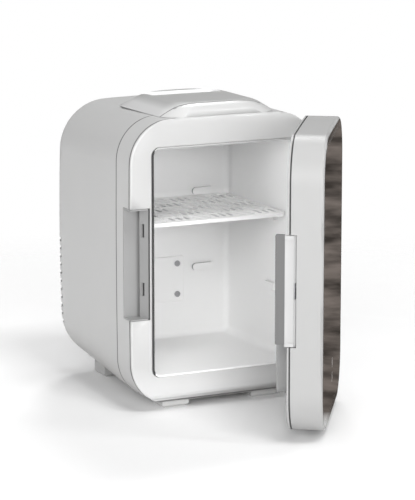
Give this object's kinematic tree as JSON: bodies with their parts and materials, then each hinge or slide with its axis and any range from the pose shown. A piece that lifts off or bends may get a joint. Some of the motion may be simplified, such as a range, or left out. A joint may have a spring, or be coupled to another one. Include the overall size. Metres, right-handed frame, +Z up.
{
  "type": "mini fridge",
  "caption": "Compact thermoelectric mini fridge with a rounded white cabinet, carry handle, mirror door on a side hinge, sprung latch, woven-pattern shelf, door pocket and rear cooling fan.",
  "frame": {"origin": "middle of the bottom of the whole part's box with the door ajar as pictured, on the surface that the feet stand on", "axes": "+Z up, +Y from the door side towards the back of the cabinet, +X towards the hinge side"},
  "size_m": [0.1852, 0.3252, 0.252],
  "materials": {
    "white_plastic": "satin moulded white",
    "foot_plastic": "soft light grey",
    "grey_plastic": "satin mid grey",
    "mirror": "smoked mirror glass",
    "foam": "foam",
    "aluminium": "milled",
    "ceramic": "alumina plates",
    "steel": "zinc plated",
    "black_plastic": "matt black",
    "cover_plastic": "matt light grey",
    "board": "solder mask",
    "lead": "insulated wire",
    "seal": "soft seal"
  },
  "bodies": {
    "cabinet": {"rear_shell": "white_plastic", "front_collar": "white_plastic", "front_frame": "white_plastic", "carry_handle": "white_plastic", "inner_throat": "white_plastic", "inner_liner": "white_plastic", "cold_plate": "white_plastic", "latch_recess": "white_plastic", "foot_front_left": "foot_plastic", "foot_front_right": "foot_plastic", "foot_rear_left": "foot_plastic", "foot_rear_right": "foot_plastic", "latch_keeper": "grey_plastic", "cabinet_insulation": "foam", "module_insulation": "foam", "cold_block": "aluminium", "heat_sink": "aluminium", "peltier_module": "ceramic", "cold_plate_screws": "steel", "heat_sink_screws": "steel", "fan_screws": "steel", "rear_cover_screws": "steel", "fan_frame": "black_plastic", "ac_inlet": "black_plastic", "dc_socket": "black_plastic", "mode_switch_frame": "black_plastic", "temperature_sensor": "black_plastic", "rear_cover": "cover_plastic", "power_board": "board", "module_leads": "lead", "fan_leads": "lead"},
    "door": {"door_shell": "white_plastic", "mirror_glass": "mirror", "door_inner_panel": "white_plastic", "door_panel_screws": "steel", "door_insulation": "foam", "door_gasket": "seal", "led_strip": "board", "touch_board": "board", "hinge_pin_lower": "steel", "hinge_pin_upper": "steel", "latch_pin": "steel", "latch_spring": "steel"},
    "latch": {"latch_lever": "white_plastic", "latch_tongue": "grey_plastic"},
    "pocket": {"door_pocket": "grey_plastic"},
    "shelf": {"shelf": "white_plastic"},
    "fan": {"fan_rotor": "black_plastic"},
    "mode_rocker": {"mode_switch_rocker": "black_plastic"}
  },
  "joints": [
    {"name": "door_swing", "type": "hinge", "parent": "cabinet", "child": "door", "pos_m": [0.07179, -0.01436, 0], "axis": [0, 0, 1], "range_deg": [-56.3, 43.7]},
    {"name": "latch_pull", "type": "hinge", "parent": "door", "child": "latch", "pos_m": [-0.01707, -0.1467, 0.1239], "axis": [0, 0, 1], "range_deg": [0, 18], "stiffness_Nm_per_rad": 0.12},
    {"name": "shelf_slide", "type": "slide", "parent": "cabinet", "child": "shelf", "axis": [0, -1, 0], "range_m": [0, 0.012]},
    {"name": "pocket_lift", "type": "slide", "parent": "door", "child": "pocket", "axis": [0, 0, 1], "range_m": [0, 0.012]},
    {"name": "fan_spin", "type": "hinge", "parent": "cabinet", "child": "fan", "pos_m": [-0.00761, 0.15854, 0.082], "axis": [0, 1, 0], "continuous": true},
    {"name": "mode_rock", "type": "hinge", "parent": "cabinet", "child": "mode_rocker", "pos_m": [0.02439, 0.15924, 0.17], "axis": [1, 0, 0], "range_deg": [-12, 12]}
  ]
}
